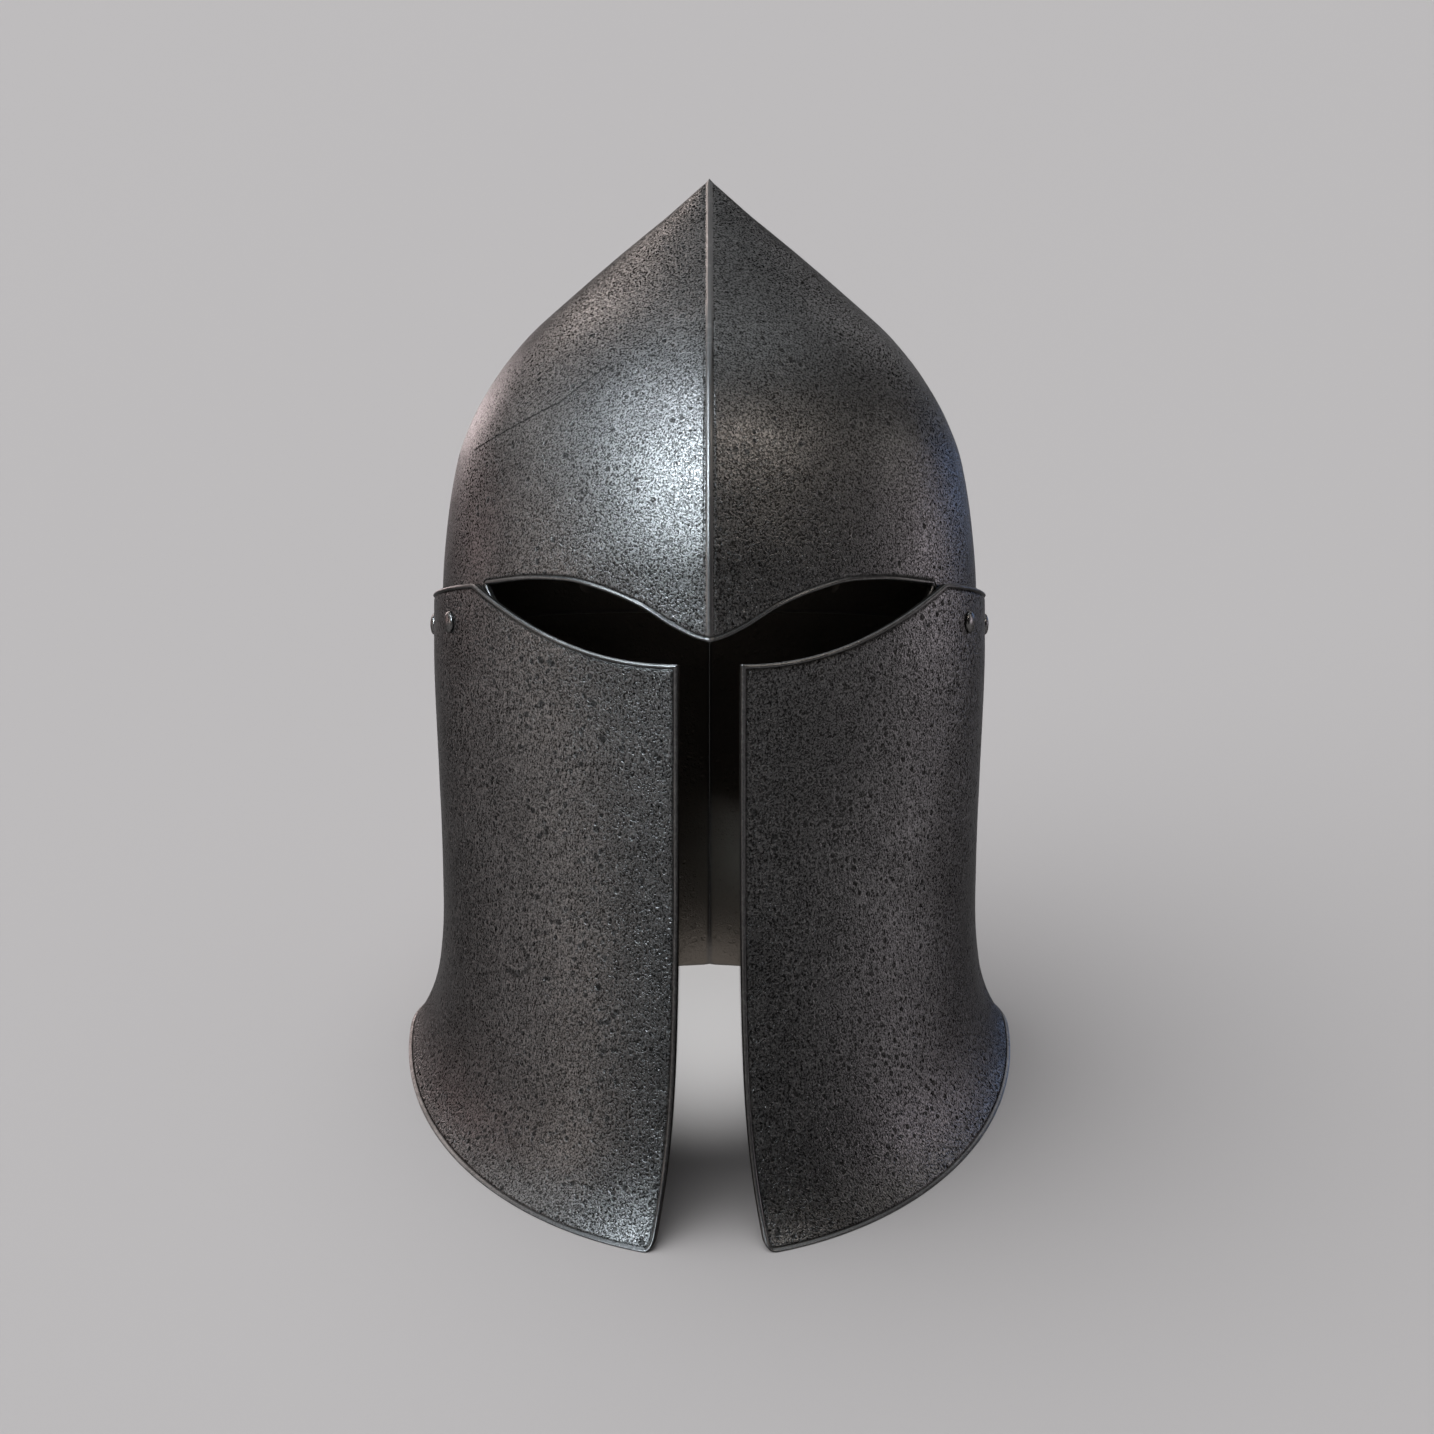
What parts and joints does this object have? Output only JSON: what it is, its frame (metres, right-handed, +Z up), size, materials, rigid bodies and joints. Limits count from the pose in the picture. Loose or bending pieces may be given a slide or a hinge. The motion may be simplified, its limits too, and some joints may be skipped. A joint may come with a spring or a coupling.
{
  "type": "sallet helmet",
  "caption": "Pointed steel sallet helmet with a creased one-piece skull, riveted cheek plates round a narrow face slot, and a flared lower rim that it rests on.",
  "frame": {"origin": "on the surface that the rim rests on, under the middle of the whole helmet's box", "axes": "+Z up, the face looks towards -Y, +X is the wearer's left"},
  "size_m": [0.2388, 0.3276, 0.3268],
  "materials": {
    "pitted_steel": "dark, finely pitted forged steel, worn bright along its edges",
    "rivet_steel": "rubbed dark steel"
  },
  "bodies": {
    "root": {"skull": "pitted_steel", "cheek_plate_left": "pitted_steel", "cheek_plate_right": "pitted_steel", "rivet_left_1": "rivet_steel", "rivet_left_2": "rivet_steel", "rivet_left_3": "rivet_steel", "rivet_left_4": "rivet_steel", "rivet_right_1": "rivet_steel", "rivet_right_2": "rivet_steel", "rivet_right_3": "rivet_steel", "rivet_right_4": "rivet_steel"}
  },
  "joints": []
}
